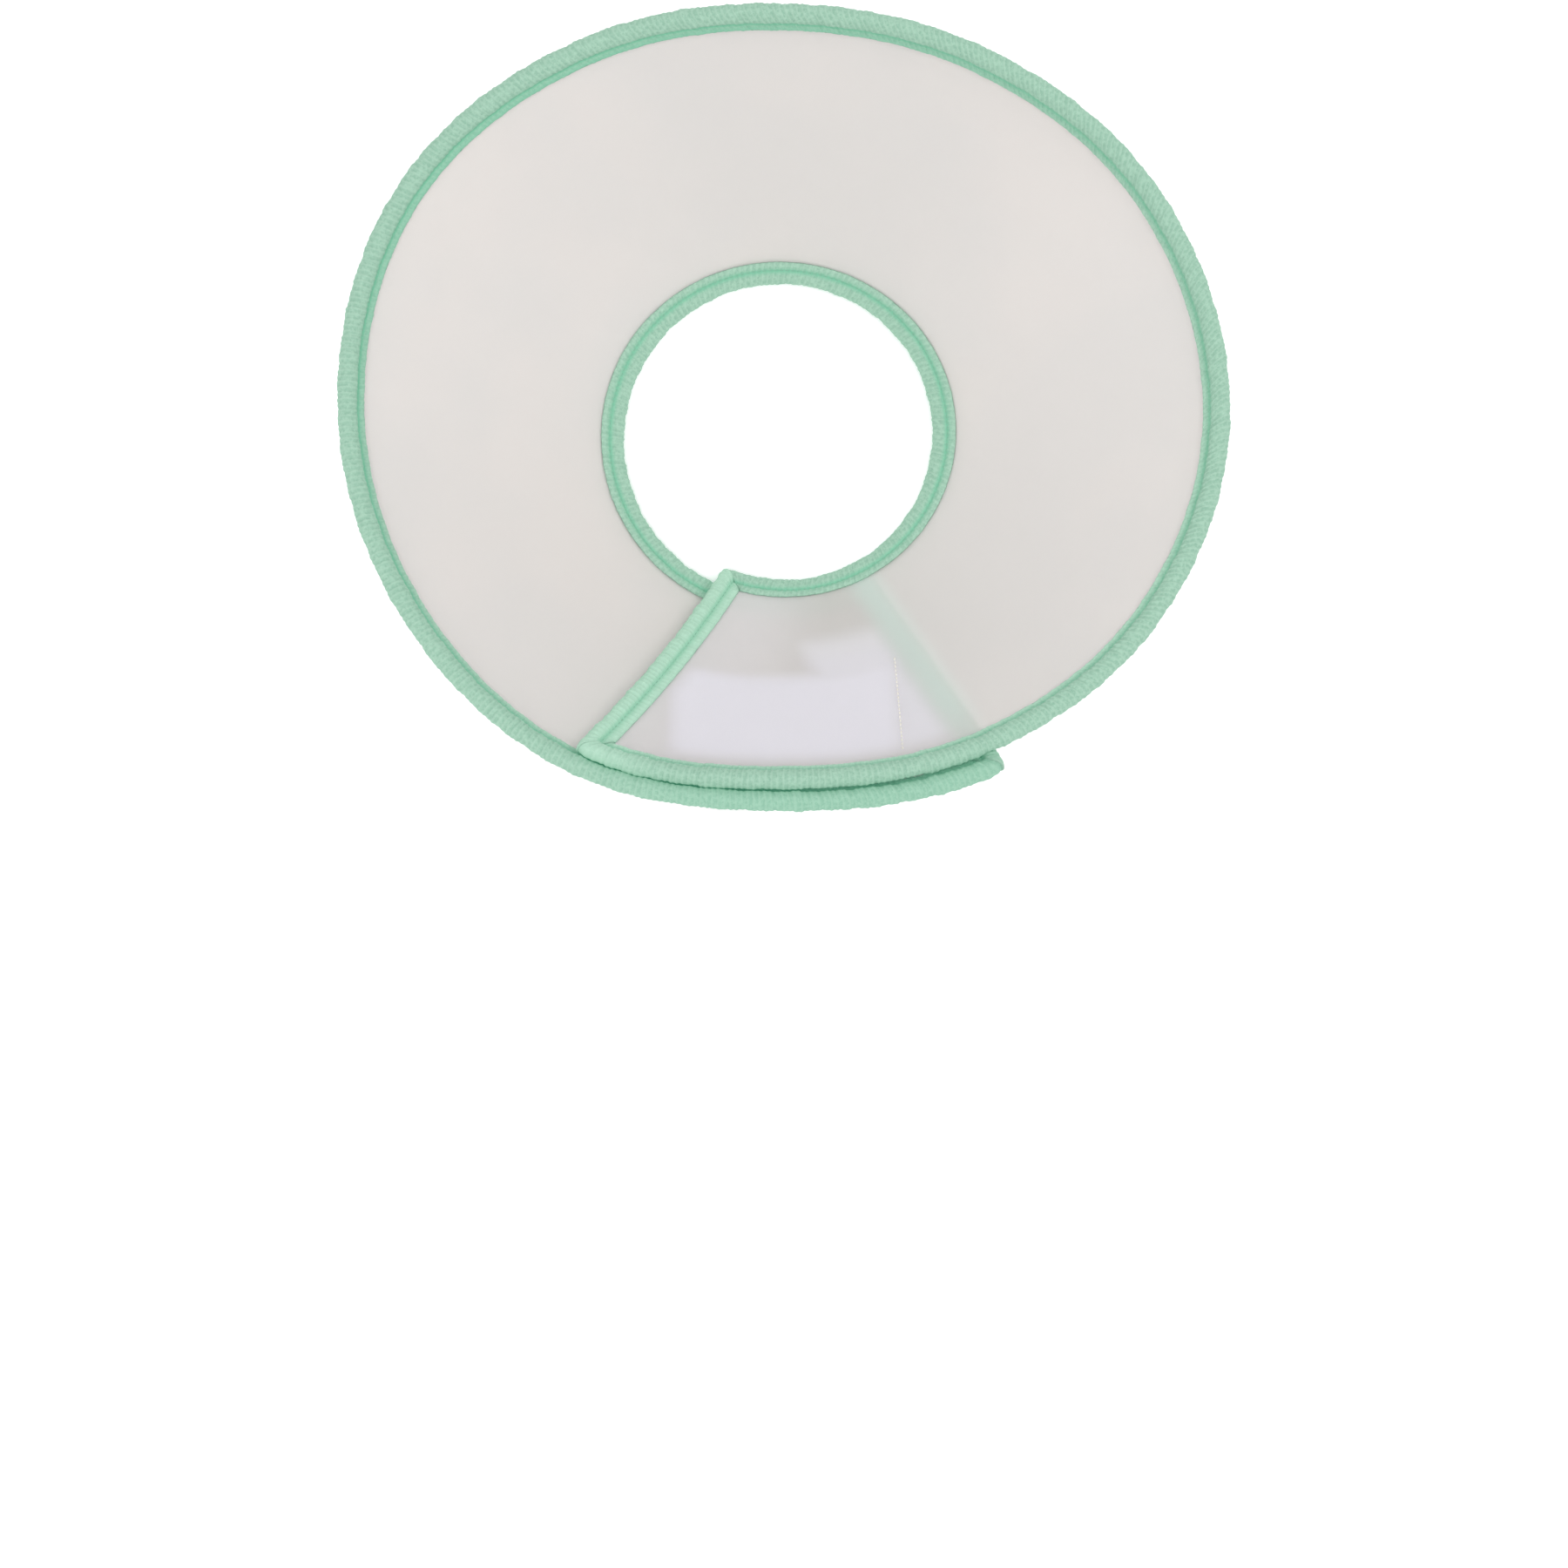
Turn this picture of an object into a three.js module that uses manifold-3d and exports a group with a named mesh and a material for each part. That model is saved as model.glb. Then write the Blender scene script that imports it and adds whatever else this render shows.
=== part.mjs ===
// A pet recovery collar: one frosted plastic sheet rolled into a cone that overlaps itself at the
// front, knitted binding sewn round all of its edges, and hook-and-loop patches between the layers.
// Millimetres, +Z up. It stands on its neck edge with the overlap towards -Y, and the origin is on
// the floor under its middle.
//
// A place on the wall has three values. turn is in degrees round the cone, 0 at the front and 90
// at +X, and it passes 360 on the outer layer. rise is the distance up the wall from the sheet's
// neck edge. lift is the height off the middle of the wall, towards the inside of the cone.

import * as THREE from 'three';
import Module from 'manifold-3d';
import { mergeVertices } from 'three/addons/utils/BufferGeometryUtils.js';

const wasm = await Module();
wasm.setup();

// Cone
const neckRadius = 64; // the sheet's neck edge, on the inner layer
const rimReach = 172; // the sheet's rim edge from the neck's axis, where its share is 1
const coneDepth = 76; // the rim edge above the neck edge, where the share is 1
const sheetThickness = 0.8;
const clearance = 0.3; // between pieces that touch on the real collar

// Outline of the rim, which is pressed a little oval by its own overlap
const rimOutline = [
  { turn: 0, share: 0.9 },
  { turn: 30, share: 0.938 },
  { turn: 60, share: 1.0 },
  { turn: 90, share: 1.035 },
  { turn: 120, share: 1.0 },
  { turn: 150, share: 0.925 },
  { turn: 180, share: 0.89 },
  { turn: 210, share: 0.94 },
  { turn: 240, share: 1.01 },
  { turn: 270, share: 1.0 },
  { turn: 300, share: 0.97 },
  { turn: 330, share: 0.945 },
];

// Wrap: the inner end, the outer end one turn further on, and where the outer end starts to stand off
const innerEnd = -30.2;
const outerEnd = 390;
const standOffStart = 340;
const standOff = 1.4; // how much further out the outer end lies
const innerLean = 7; // degrees that the inner end drifts on its way down

// Binding: a padded roll past the edge and two flat lips that hold the sheet between them
const tapeCover = 9; // from the sheet's edge to the lips' edge
const lipThickness = 1;
const stitchGroove = 0.45; // depth of the sewn groove between lip and roll
const rimRoll = { width: 7.8, overhang: 2.3, front: 4, back: 3 };
const neckRoll = { width: 7.4, overhang: 2.3, front: 2.8, back: 2.8 };
const endRoll = { width: 6.7, overhang: 2.3, front: 3.4, back: 2.6 };
const cornerPower = 6; // 2 would be a round corner, and more is squarer
const restFlat = 0.35; // how far the neck roll is pressed flat where it stands

// Hook-and-loop patches: oblongs beside a line at one turn, hung a little below the rim binding,
// and cut off where an end's binding begins. The loop patch is sewn behind the inner layer, and
// the hook patch inside the outer layer.
const patchThickness = 1.5;
const patchBelowRim = 4; // from the rim binding's lips down to the patches
const loopPatch = { line: 0, from: -48, to: 48, height: 57, side: -1 };
const hookPatch = { line: outerEnd, from: -50, to: 0, height: 79, side: 1 };

// Facets
const wrapSteps = 76;
const wallRows = [0, 0.12, 0.28, 0.5, 0.75, 1]; // from the lower lips to the upper lips
const rollSteps = 9;
const patchColumns = 9;
const patchRows = 3;
const cornerAngles = [45, 56, 70];
const cornerColumns = [0, 0.03, 0.12, 0.4];

// Sizes that follow
const fullTurn = 360;
const slant = Math.hypot(rimReach - neckRadius, coneDepth);
const layerGap = rimRoll.front + rimRoll.back + 4 * clearance;
const inset = tapeCover + clearance; // the line that the corners turn about, from each edge
const slotHalf = sheetThickness / 2 + clearance;
const slotOverrun = 1.5 * clearance;
const mitre = clearance / Math.SQRT2;
const { degToRad, radToDeg, lerp, smoothstep, euclideanModulo } = THREE.MathUtils;

// Materials
const frostedPlastic = new THREE.MeshStandardMaterial({ color: 0xe1ddda, roughness: 0.35, metalness: 0 });
const mintKnit = new THREE.MeshStandardMaterial({ color: 0xa9d5be, roughness: 0.95, metalness: 0 });
const whiteLoop = new THREE.MeshStandardMaterial({ color: 0xe9e8ee, roughness: 0.9, metalness: 0 });

const rimCurve = new THREE.CatmullRomCurve3(
  rimOutline.map((row) => new THREE.Vector3(row.share, 0, 0)), true, 'catmullrom', 0.5);

// How far a turn of the wrap lies outside the start of the wrap
function spread(turn) {
  const round = smoothstep(turn, outerEnd - fullTurn, innerEnd + fullTurn);
  return layerGap * round + standOff * smoothstep(turn, standOffStart, outerEnd);
}

// The wall's share of outward run at a turn, and its radius at a turn and rise
function outwardRun(turn) {
  const share = rimCurve.getPoint(euclideanModulo(turn, fullTurn) / fullTurn).x;
  return (rimReach * share - neckRadius) / slant;
}

function reachAt(turn, rise) {
  return neckRadius + spread(turn) + outwardRun(turn) * rise;
}

function wallPoint(turn, rise) {
  const angle = degToRad(turn);
  const reach = reachAt(turn, rise);
  const upward = Math.sqrt(1 - outwardRun(turn) ** 2);
  return new THREE.Vector3(reach * Math.sin(angle), -reach * Math.cos(angle), rise * upward);
}

function place(turn, rise, lift) {
  const smallTurn = 0.2;
  const point = wallPoint(turn, rise);
  const upwards = wallPoint(turn, rise + 1).sub(point);
  const onwards = wallPoint(turn + smallTurn, rise).sub(point);
  const inwards = upwards.cross(onwards).normalize();
  return point.addScaledVector(inwards, lift);
}

// The turn of the sheet's two ends at a rise, and of a line between them, all inset for the corners
function innerEndTurn(rise) {
  return innerEnd + innerLean * (1 - rise / slant);
}

function insetTurn(wrap, rise) {
  const first = innerEndTurn(rise);
  const from = first + radToDeg(inset / reachAt(first, rise));
  const to = outerEnd - radToDeg(inset / reachAt(outerEnd, rise));
  return lerp(from, to, wrap);
}

// A station says where the binding's section stands. out is counted from the inset line, and round
// and over share it between the way round the wrap and the way up the wall.
function bindingPlace(station, out, lift) {
  const rise = station.rise + out * station.over;
  const line = insetTurn(station.wrap, rise);
  const sideways = out * station.round + station.slip;
  return place(line + radToDeg(sideways / reachAt(line, rise)), rise, lift);
}

function cornerStation(wrap, atRim, angle, slip, drop) {
  const level = atRim ? 1 : -1;
  const across = Math.cos(degToRad(angle));
  const along = Math.sin(degToRad(angle));
  const stretch = (across ** cornerPower + along ** cornerPower) ** (-1 / cornerPower);
  const side = wrap === 0 ? -1 : 1;
  const rise = (atRim ? slant - inset : inset) - level * drop;
  return { wrap, rise, round: side * across * stretch, over: level * along * stretch, slip: -side * slip };
}

// The stations of the rim or neck binding, from the inner end's corner to the outer end's
function edgeStations(atRim) {
  const stations = [];
  for (const angle of cornerAngles) {
    stations.push(cornerStation(0, atRim, angle, mitre, 0));
  }
  for (let step = 0; step <= wrapSteps; step++) {
    const rise = atRim ? slant - inset : inset;
    stations.push({ wrap: step / wrapSteps, rise, round: 0, over: atRim ? 1 : -1, slip: 0 });
  }
  for (const angle of cornerAngles.toReversed()) {
    stations.push(cornerStation(1, atRim, angle, mitre, 0));
  }
  return stations;
}

// The stations of an end's binding, from the rim corner down to the neck corner
function endStations(wrap) {
  const stations = [];
  for (const angle of cornerAngles) {
    stations.push(cornerStation(wrap, true, 90 - angle, 0, mitre));
  }
  for (const share of wallRows.toReversed()) {
    const rise = lerp(inset + mitre, slant - inset - mitre, share);
    stations.push({ wrap, rise, round: wrap === 0 ? -1 : 1, over: 0, slip: 0 });
  }
  for (const angle of cornerAngles.toReversed()) {
    stations.push(cornerStation(wrap, false, 90 - angle, 0, mitre));
  }
  return stations;
}

// The binding's section, out from the inset line and lifted off the wall's middle
function bindingSection(roll) {
  const lipEdge = inset - tapeCover;
  const lipTop = slotHalf + lipThickness;
  const middle = inset + roll.overhang - roll.width / 2;
  const groove = middle - roll.width / 2;
  const grooveTop = lipTop - stitchGroove;
  const soften = 0.7 * lipThickness;
  const rollStart = 145;
  const front = [
    [lipEdge, slotHalf],
    [lipEdge + soften, lipTop],
    [groove - soften, lipTop],
    [groove, grooveTop],
  ];
  const rounded = [];
  for (let step = 0; step <= rollSteps; step++) {
    const angle = degToRad(lerp(rollStart, -rollStart, step / rollSteps));
    const height = angle > 0 ? roll.front : roll.back;
    rounded.push([middle + roll.width / 2 * Math.cos(angle), height * Math.sin(angle)]);
  }
  const back = front.toReversed().map(([out, lift]) => [out, -lift]);
  const slot = [
    [inset + slotOverrun, -slotHalf],
    [inset + slotOverrun, slotHalf],
  ];
  return [...front, ...rounded, ...back, ...slot];
}

// A closed body through rings of points, with its two end rings covered by the faces given
function loft(rings, endFaces) {
  const count = rings[0].length;
  const positions = rings.flat().flatMap((point) => point.toArray());
  const indices = [];
  for (let ring = 0; ring + 1 < rings.length; ring++) {
    for (let corner = 0; corner < count; corner++) {
      const here = ring * count + corner;
      const beside = ring * count + (corner + 1) % count;
      indices.push(here, beside, here + count, beside, beside + count, here + count);
    }
  }
  const last = (rings.length - 1) * count;
  for (const [a, b, c] of endFaces) {
    indices.push(c, b, a, last + a, last + b, last + c);
  }
  const geometry = new THREE.BufferGeometry();
  geometry.setAttribute('position', new THREE.Float32BufferAttribute(positions, 3));
  geometry.setIndex(signedVolume(positions, indices) < 0 ? indices.toReversed() : indices);
  return geometry;
}

function signedVolume(positions, indices) {
  const corner = (index) => new THREE.Vector3().fromArray(positions, 3 * index);
  let total = 0;
  for (let face = 0; face < indices.length; face += 3) {
    const [a, b, c] = indices.slice(face, face + 3).map(corner);
    total += a.dot(b.cross(c));
  }
  return total;
}

function bindingBody(stations, roll) {
  const section = bindingSection(roll);
  const outline = section.map(([out, lift]) => new THREE.Vector2(out, lift));
  const endFaces = THREE.ShapeUtils.triangulateShape(outline, []);
  if (THREE.ShapeUtils.area(outline) < 0) {
    endFaces.forEach((face) => face.reverse());
  }
  const rings = stations.map((station) => section.map(([out, lift]) => bindingPlace(station, out, lift)));
  return loft(rings, endFaces);
}

// A thin sheet through columns of places, each with its lower and upper face
function sheetBody(columns) {
  const rows = columns[0].length;
  const rings = columns.map((column) => [
    ...column.map(({ turn, rise, top }) => place(turn, rise, top)),
    ...column.toReversed().map(({ turn, rise, bottom }) => place(turn, rise, bottom)),
  ]);
  const endFaces = [];
  for (let row = 0; row + 1 < rows; row++) {
    const across = 2 * rows - 1 - row;
    endFaces.push([row, row + 1, across], [row + 1, across - 1, across]);
  }
  return loft(rings, endFaces);
}

// The sheet's columns: a few close together at each end, where its corners are rounded off
function coneSheet() {
  const top = sheetThickness / 2;
  const column = (wrap, side, fromEnd) => {
    const short = 1 - (1 - (1 - fromEnd) ** cornerPower) ** (1 / cornerPower);
    const places = [];
    const levels = wallRows.map((share) => lerp(inset, slant - inset, share));
    for (const rise of [inset * short, ...levels, slant - inset * short]) {
      const line = insetTurn(wrap, rise);
      const sideways = side * inset * (1 - fromEnd);
      places.push({ turn: line + radToDeg(sideways / reachAt(line, rise)), rise, top, bottom: -top });
    }
    return places;
  };
  const columns = cornerColumns.map((share) => column(0, -1, share));
  for (let step = 0; step <= wrapSteps; step++) {
    columns.push(column(step / wrapSteps, 0, 1));
  }
  columns.push(...cornerColumns.toReversed().map((share) => column(1, 1, share)));
  return sheetBody(columns);
}

function patchBody(patch) {
  const bottom = slotHalf * patch.side;
  const top = bottom + patchThickness * patch.side;
  const high = slant - tapeCover - patchBelowRim;
  const columns = [];
  for (let step = 0; step <= patchColumns; step++) {
    const column = [];
    for (let row = 0; row <= patchRows; row++) {
      const rise = lerp(high - patch.height, high, row / patchRows);
      const reach = reachAt(patch.line, rise);
      const lips = radToDeg((inset + clearance) / reach);
      const from = Math.max(patch.line + radToDeg(patch.from / reach), innerEndTurn(rise) + lips);
      const to = Math.min(patch.line + radToDeg(patch.to / reach), outerEnd - lips);
      column.push({ turn: lerp(from, to, step / patchColumns), rise, top, bottom });
    }
    columns.push(column);
  }
  return sheetBody(columns);
}

// Solids for the cut that presses the neck roll flat
function toSolid(geometry) {
  const mesh = new wasm.Mesh({
    numProp: 3,
    vertProperties: Float32Array.from(geometry.attributes.position.array),
    triVerts: Uint32Array.from(geometry.index.array),
  });
  return new wasm.Manifold(mesh);
}

function toGeometry(solid) {
  const mesh = solid.getMesh();
  const geometry = new THREE.BufferGeometry();
  geometry.setAttribute('position', new THREE.BufferAttribute(mesh.vertProperties, 3));
  geometry.setIndex(new THREE.BufferAttribute(mesh.triVerts, 1));
  return geometry;
}

// The height of the floor: just above the least low point round the neck roll
function floorHeight() {
  const section = bindingSection(neckRoll);
  const lows = edgeStations(false).map((station) => {
    const heights = section.map(([out, lift]) => bindingPlace(station, out, lift).z);
    return Math.min(...heights);
  });
  return Math.max(...lows) + restFlat;
}

function pressedFlat(geometry, floor) {
  const depth = 2 * (neckRoll.front + neckRoll.back);
  const width = 3 * rimReach;
  const slab = new THREE.BoxGeometry(width, width, depth).translate(0, 0, floor - depth / 2);
  slab.deleteAttribute('normal');
  slab.deleteAttribute('uv');
  return toGeometry(toSolid(geometry).subtract(toSolid(mergeVertices(slab))));
}

const floor = floorHeight();
const bodies = [
  ['cone_sheet', coneSheet(), frostedPlastic],
  ['rim_binding', bindingBody(edgeStations(true), rimRoll), mintKnit],
  ['neck_binding', pressedFlat(bindingBody(edgeStations(false), neckRoll), floor), mintKnit],
  ['inner_end_binding', pressedFlat(bindingBody(endStations(0), endRoll), floor), mintKnit],
  ['outer_end_binding', pressedFlat(bindingBody(endStations(1), endRoll), floor), mintKnit],
  ['loop_patch', patchBody(loopPatch), whiteLoop],
  ['hook_patch', patchBody(hookPatch), whiteLoop],
];

const collar = new THREE.Group();
for (const [name, geometry, material] of bodies) {
  const mesh = new THREE.Mesh(geometry, material);
  mesh.name = name;
  collar.add(mesh);
}

// The floor under the middle of the whole collar becomes the origin
const extent = new THREE.Box3().setFromObject(collar);
const middle = extent.getCenter(new THREE.Vector3());
collar.position.set(-middle.x, -middle.y, -floor);

export default collar;
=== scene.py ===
# The looks of a pet recovery collar: a frosted plastic cone that overlaps itself at the front, with
# ribbed knitted binding on all its edges and hook-and-loop patches between its two layers.
# Metres, in the frame of the CAD part. A place on the wall has a turn in degrees round the cone,
# a rise up the wall from the sheet's neck edge, and a lift off the wall towards the inside.

import math

import bmesh
import bpy
import numpy as np
from bpy.props import FloatProperty, FloatVectorProperty, PointerProperty
from mathutils import Matrix, Vector


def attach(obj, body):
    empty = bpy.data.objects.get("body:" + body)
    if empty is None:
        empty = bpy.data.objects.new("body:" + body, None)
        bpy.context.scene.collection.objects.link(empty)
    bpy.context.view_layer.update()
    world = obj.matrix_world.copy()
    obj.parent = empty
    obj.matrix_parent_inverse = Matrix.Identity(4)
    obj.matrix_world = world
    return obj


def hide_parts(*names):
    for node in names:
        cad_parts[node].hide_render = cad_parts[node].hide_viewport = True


bl_info = {
    "name": "Recovery Collar",
    "version": (1, 0, 0),
    "blender": (4, 5, 0),
    "location": "View3D > Sidebar > Collar",
    "description": "Builds a frosted pet recovery collar with knitted binding round its CAD part",
    "category": "Add Mesh",
}

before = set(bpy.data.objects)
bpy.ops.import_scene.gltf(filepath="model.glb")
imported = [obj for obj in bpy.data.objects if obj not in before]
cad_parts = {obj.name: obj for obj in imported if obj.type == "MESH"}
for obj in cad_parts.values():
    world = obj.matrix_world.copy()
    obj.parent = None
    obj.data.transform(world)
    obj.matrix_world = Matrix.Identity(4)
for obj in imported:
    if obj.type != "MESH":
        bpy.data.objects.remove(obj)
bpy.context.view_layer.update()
MM = 0.001

# The middle of the whole collar from the neck's axis, and the floor below the sheet's neck edge
CENTRING = Vector((0.000351, 0.003076, 0.001133))

# Outline of the rim, a little oval: turns in degrees, and shares of the rim's reach
RIM_OUTLINE = (
    (0, 0.9),
    (30, 0.938),
    (60, 1.0),
    (90, 1.035),
    (120, 1.0),
    (150, 0.925),
    (180, 0.89),
    (210, 0.94),
    (240, 1.01),
    (270, 1.0),
    (300, 0.97),
    (330, 0.945),
)

# The wrap's ends in degrees, and how they lean and stand off
INNER_END = -30.2
OUTER_END = 390.0
STAND_OFF_START = 340.0
STAND_OFF = 1.4 * MM
INNER_LEAN = 7.0
CORNER_POWER = 6.0

# Columns of faces to each rib of the knit
RIB_COLUMNS = 4

# Stitches: the share of a step that the thread shows for, and the radii of the two threads
THREAD_SHARE = 0.72
MINT_THREAD = 0.17 * MM
PALE_THREAD = 0.42 * MM

# Rolls of the binding: width, overhang past the sheet's edge, height in front and behind
ROLLS = {
    "rim": (7.8 * MM, 2.3 * MM, 4.0 * MM, 3.0 * MM),
    "neck": (7.4 * MM, 2.3 * MM, 2.8 * MM, 2.8 * MM),
    "end": (6.7 * MM, 2.3 * MM, 3.4 * MM, 2.6 * MM),
}

# Patches: the turn that they lie at, their reach each way from it, height, and side of the wall
LOOP_PATCH = {"line": 0.0, "from": -48 * MM, "to": 48 * MM, "height": 57 * MM, "side": -1}
HOOK_PATCH = {"line": OUTER_END, "from": -50 * MM, "to": 0.0, "height": 79 * MM, "side": 1}

# Painted glow: emission that stands in for light that passes through the loose knit and leaves it
# again, which a surface alone would lose
KNIT_GLOW = {"Emission Color": (0.1, 0.48, 0.31), "Emission Strength": 0.18}
FLOOR_GLOW = {"Emission Color": (1.0, 1.0, 1.0), "Emission Strength": 0.22}

# Share of its backed colour, partly the patch's lilac seen through and partly painted light, that the
# sheet has over the hook patch and beside its inner end, and how many degrees the zone beside the end
# and its soft edge reach
HOOK_BACKED_LIGHT = 0.85
END_BACKED_LIGHT = 0.45
END_ZONE = 40.0
END_ZONE_EDGE = 25.0

# The camera: place, degrees from straight down, and focal length in millimetres
CAMERA_PLACE = (-0.0004, -0.2571, 1.5636)
CAMERA_TILT = 4.09
CAMERA_LENS = 85.0

# How far the knit turns to its painted light and its painted shade colour where it is wholly lit or
# wholly shaded, and how much lighter the painted light colour is
LIT_SHARE = 0.6
SHADED_SHARE = 0.35
LIT_GAIN = 1.37


class CollarSizes(bpy.types.PropertyGroup):
    neck_radius: FloatProperty(
        name="Neck radius",
        description="Radius of the sheet's neck edge on the inner layer",
        default=0.064,
        min=0.03,
        max=0.12,
        unit="LENGTH",
    )
    rim_reach: FloatProperty(
        name="Rim reach",
        description="The sheet's rim edge from the axis of the neck",
        default=0.172,
        min=0.08,
        max=0.3,
        unit="LENGTH",
    )
    cone_depth: FloatProperty(
        name="Cone depth",
        description="Height of the rim edge above the neck edge",
        default=0.076,
        min=0.03,
        max=0.2,
        unit="LENGTH",
    )
    sheet_thickness: FloatProperty(
        name="Sheet thickness",
        description="Thickness of the frosted plastic",
        default=0.0008,
        min=0.0003,
        max=0.002,
        unit="LENGTH",
    )
    clearance: FloatProperty(
        name="Clearance",
        description="Room between pieces that touch on the real collar",
        default=0.0003,
        min=0.0001,
        max=0.001,
        unit="LENGTH",
    )
    tape_cover: FloatProperty(
        name="Tape cover",
        description="How far the binding's lips reach onto the sheet",
        default=0.009,
        min=0.004,
        max=0.02,
        unit="LENGTH",
    )
    lip_thickness: FloatProperty(
        name="Lip thickness",
        description="Thickness of the binding's flat lips",
        default=0.001,
        min=0.0005,
        max=0.002,
        unit="LENGTH",
    )
    groove_depth: FloatProperty(
        name="Groove depth",
        description="Depth of the sewn groove between the lip and the roll",
        default=0.0004,
        min=0.0,
        max=0.0009,
        unit="LENGTH",
    )
    rib_pitch: FloatProperty(
        name="Rib pitch",
        description="Distance from one rib of the knit to the next",
        default=0.00232,
        min=0.0006,
        max=0.004,
        unit="LENGTH",
    )
    rib_height: FloatProperty(
        name="Rib height",
        description="How far the ribs stand off the valleys between them",
        default=0.00026,
        min=0.0,
        max=0.001,
        unit="LENGTH",
    )
    patch_thickness: FloatProperty(
        name="Patch thickness",
        description="Thickness of the hook-and-loop patches with their pile",
        default=0.0015,
        min=0.0005,
        max=0.004,
        unit="LENGTH",
    )
    patch_below_rim: FloatProperty(
        name="Patch below rim",
        description="From the rim binding's lips down to the patches",
        default=0.004,
        min=0.0,
        max=0.03,
        unit="LENGTH",
    )
    stitch_step: FloatProperty(
        name="Stitch step",
        description="Distance from one stitch to the next",
        default=0.0024,
        min=0.001,
        max=0.006,
        unit="LENGTH",
    )


class CollarColours(bpy.types.PropertyGroup):
    sheet: FloatVectorProperty(
        name="Sheet",
        description="Colour of the frosted plastic",
        subtype="COLOR",
        default=(0.81, 0.777, 0.757),
        min=0.0,
        max=1.0,
    )
    # Partly the loop patch's lilac seen through the plastic, partly painted light: a brighter zone
    # over the patches and beside the inner end
    backed_lit_sheet: FloatVectorProperty(
        name="Backed sheet",
        description="Colour of the plastic where the loop patch is pressed against its back",
        subtype="COLOR",
        default=(0.945, 0.93, 0.96),
        min=0.0,
        max=1.0,
    )
    shaded_sheet: FloatVectorProperty(
        name="Shaded sheet",
        description="Colour of the plastic where the outer end's binding shows through it",
        subtype="COLOR",
        default=(0.8, 0.86, 0.825),
        min=0.0,
        max=1.0,
    )
    knit: FloatVectorProperty(
        name="Knit",
        description="Colour of the binding on its ribs",
        subtype="COLOR",
        default=(0.385, 0.545, 0.44),
        min=0.0,
        max=1.0,
    )
    # Painted shade: the binding's darker green in the valleys between its ribs
    knit_valley_shade: FloatVectorProperty(
        name="Knit valley",
        description="Colour of the binding between its ribs",
        subtype="COLOR",
        default=(0.277, 0.43, 0.335),
        min=0.0,
        max=1.0,
    )
    # Painted shade: the darker green of the sewn groove, the creases beside the roll, the lips at the
    # back and the rim's lower layer
    groove: FloatVectorProperty(
        name="Groove",
        description="Colour of the sewn groove and the tucked lip",
        subtype="COLOR",
        default=(0.2, 0.5, 0.34),
        min=0.0,
        max=1.0,
    )
    patch: FloatVectorProperty(
        name="Patch",
        description="Colour of the hook-and-loop patches",
        subtype="COLOR",
        default=(0.84, 0.8, 1.0),
        min=0.0,
        max=1.0,
    )
    pale_thread: FloatVectorProperty(
        name="Pale thread",
        description="Colour of the thread that sews the loop patch on",
        subtype="COLOR",
        default=(1.0, 0.96, 0.88),
        min=0.0,
        max=1.0,
    )
    floor: FloatVectorProperty(
        name="Floor",
        description="Colour of the floor",
        subtype="COLOR",
        default=(0.92, 0.92, 0.92),
        min=0.0,
        max=1.0,
    )


class Socket:
    """A shader's number socket that Python's own operators work on."""

    def __init__(self, shader, link):
        self.shader = shader
        self.link = link

    def maths(self, operation, first, second):
        return self.shader.number("ShaderNodeMath", {"operation": operation}, {0: first, 1: second})

    def __add__(self, other):
        return self.maths("ADD", self, other)

    def __radd__(self, other):
        return self.maths("ADD", other, self)

    def __sub__(self, other):
        return self.maths("SUBTRACT", self, other)

    def __rsub__(self, other):
        return self.maths("SUBTRACT", other, self)

    def __mul__(self, other):
        return self.maths("MULTIPLY", self, other)

    def __rmul__(self, other):
        return self.maths("MULTIPLY", other, self)

    def __truediv__(self, other):
        return self.maths("DIVIDE", self, other)


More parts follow.
